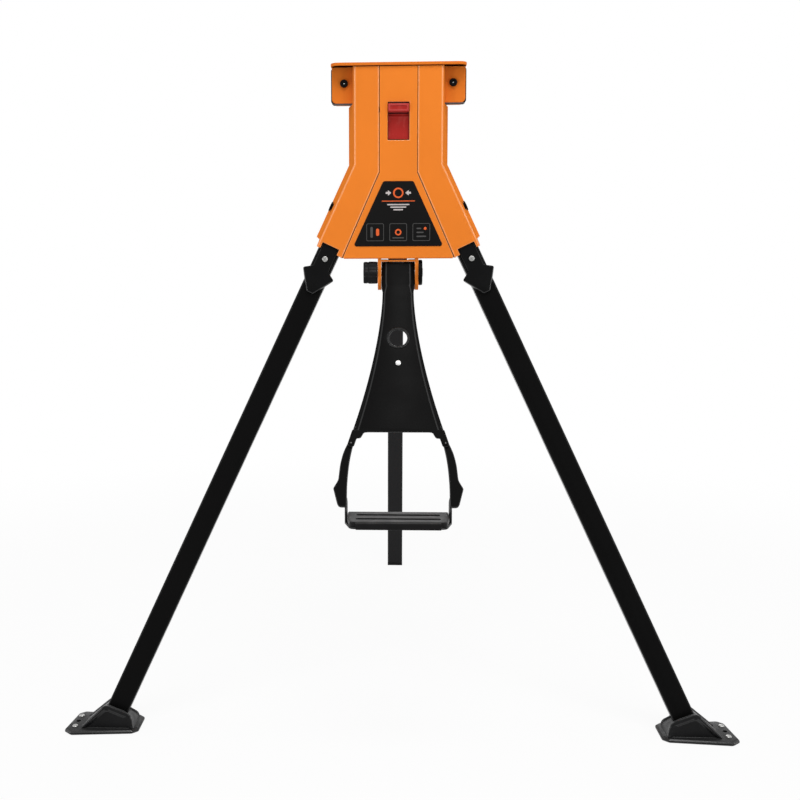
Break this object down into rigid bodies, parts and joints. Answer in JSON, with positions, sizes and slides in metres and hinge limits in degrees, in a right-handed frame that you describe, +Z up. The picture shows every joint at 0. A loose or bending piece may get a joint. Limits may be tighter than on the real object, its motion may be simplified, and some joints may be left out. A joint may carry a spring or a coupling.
{
  "type": "portable clamping workbench",
  "caption": "Foot-operated portable clamping bench on folding tube legs, with a fixed front jaw, a jaw that slides along a box beam, a stirrup pedal and a rocker lock switch.",
  "frame": {"origin": "on the floor, in the middle of the bench's length and width", "axes": "+Z up, +Y from the pedal end towards the rear leg, +X to the right as seen from the pedal end"},
  "size_m": [0.9828, 1.0358, 0.966],
  "materials": {
    "orange_paint": "satin powder coat",
    "black_paint": "satin powder coat",
    "black_steel": "black oxide",
    "black_plastic": "moulded",
    "black_rubber": "matt",
    "red_plastic": "moulded",
    "zinc": "zinc plated",
    "dark_steel": "oiled",
    "label_film": "printed film"
  },
  "bodies": {
    "frame": {"front_cover": "orange_paint", "left_side_shell": "orange_paint", "right_side_shell": "orange_paint", "fixed_jaw": "orange_paint", "fixed_jaw_pad": "black_rubber", "fixed_jaw_bolt_left": "black_steel", "fixed_jaw_bolt_right": "black_steel", "label_plate": "label_film", "switch_housing": "black_plastic", "main_beam": "orange_paint", "beam_end_cap": "black_plastic", "bar_guide": "black_plastic", "cross_plate": "orange_paint", "left_leg_bracket": "dark_steel", "right_leg_bracket": "dark_steel", "left_leg_bolt": "black_steel", "right_leg_bolt": "black_steel", "left_leg_nut": "zinc", "right_leg_nut": "zinc", "rear_leg_bracket": "orange_paint", "rear_leg_bolt": "zinc", "rear_leg_nut": "zinc", "pedal_bracket": "orange_paint", "pedal_pin": "zinc", "pedal_pin_nut": "black_steel", "pedal_spring": "zinc"},
    "sliding_jaw": {"sliding_jaw": "orange_paint", "sliding_jaw_pad": "black_rubber", "sliding_jaw_bolt_left": "black_steel", "sliding_jaw_bolt_right": "black_steel", "slide_block": "dark_steel", "saddle_bolt": "zinc", "grip_plate": "dark_steel"},
    "pedal": {"pedal_arm": "black_paint", "pedal_rivet": "zinc", "pedal_crank": "dark_steel", "stirrup": "black_paint", "stirrup_rivet_left": "black_steel", "stirrup_rivet_right": "black_steel", "tread_pad": "black_rubber"},
    "drive_bar": {"drive_bar": "dark_steel"},
    "left_leg": {"left_leg_tube": "black_paint", "left_leg_plug": "black_plastic", "left_catch_screw": "zinc", "left_foot": "black_plastic", "left_foot_stud_front": "zinc", "left_foot_stud_rear": "zinc"},
    "right_leg": {"right_leg_tube": "black_paint", "right_leg_plug": "black_plastic", "right_catch_screw": "zinc", "right_foot": "black_plastic", "right_foot_stud_front": "zinc", "right_foot_stud_rear": "zinc"},
    "left_catch": {"left_leg_catch": "black_plastic"},
    "right_catch": {"right_leg_catch": "black_plastic"},
    "rear_leg": {"rear_leg_tube": "black_paint", "rear_leg_tip": "black_rubber"},
    "lock_switch": {"lock_switch": "red_plastic"},
    "lock_pawl": {"lock_pawl": "dark_steel"},
    "pedal_knob": {"pedal_lock_knob": "black_plastic"}
  },
  "joints": [
    {"name": "jaw_slide", "type": "slide", "parent": "frame", "child": "sliding_jaw", "axis": [0, 1, 0], "range_m": [0, 0.538]},
    {"name": "pedal_press", "type": "hinge", "parent": "frame", "child": "pedal", "pos_m": [0, -0.31378, 0.6715], "axis": [1, 0, 0], "range_deg": [0, 22], "stiffness_Nm_per_rad": 3, "springref_deg": -34.38},
    {"name": "drive_bar_slide", "type": "slide", "parent": "frame", "child": "drive_bar", "axis": [0, 1, 0], "range_m": [-0.031, 0]},
    {"name": "left_leg_fold", "type": "hinge", "parent": "frame", "child": "left_leg", "pos_m": [-0.075, -0.29878, 0.7565], "axis": [0.9058, 0, -0.4237], "range_deg": [0, 95]},
    {"name": "right_leg_fold", "type": "hinge", "parent": "frame", "child": "right_leg", "pos_m": [0.075, -0.29878, 0.7565], "axis": [0.9058, 0, 0.4237], "range_deg": [0, 95]},
    {"name": "left_catch_slide", "type": "slide", "parent": "left_leg", "child": "left_catch", "axis": [-0.4219, -0.0929, -0.9019], "range_m": [0, 0.01], "stiffness_N_per_m": 150, "springref_m": -0.006},
    {"name": "right_catch_slide", "type": "slide", "parent": "right_leg", "child": "right_catch", "axis": [0.4219, -0.0929, -0.9019], "range_m": [0, 0.01], "stiffness_N_per_m": 150, "springref_m": -0.006},
    {"name": "rear_leg_fold", "type": "hinge", "parent": "frame", "child": "rear_leg", "pos_m": [0, 0.43922, 0.7015], "axis": [1, 0, 0], "range_deg": [-87, 0]},
    {"name": "lock_switch_rock", "type": "hinge", "parent": "frame", "child": "lock_switch", "pos_m": [0, -0.31978, 0.8845], "axis": [1, 0, 0], "range_deg": [0, 15]},
    {"name": "lock_pawl_swing", "type": "hinge", "parent": "frame", "child": "lock_pawl", "pos_m": [0, -0.28878, 0.7805], "axis": [1, 0, 0], "range_deg": [-12.5, 0]},
    {"name": "pedal_knob_turn", "type": "hinge", "parent": "frame", "child": "pedal_knob", "pos_m": [-0.04, -0.31378, 0.6715], "axis": [1, 0, 0], "range_deg": [-180, 180]}
  ],
  "couplings": [
    {"joint": "drive_bar_slide", "follows": "pedal_press", "m_per_rad": -0.0794},
    {"joint": "lock_pawl_swing", "follows": "lock_switch_rock", "ratio": -0.8}
  ]
}
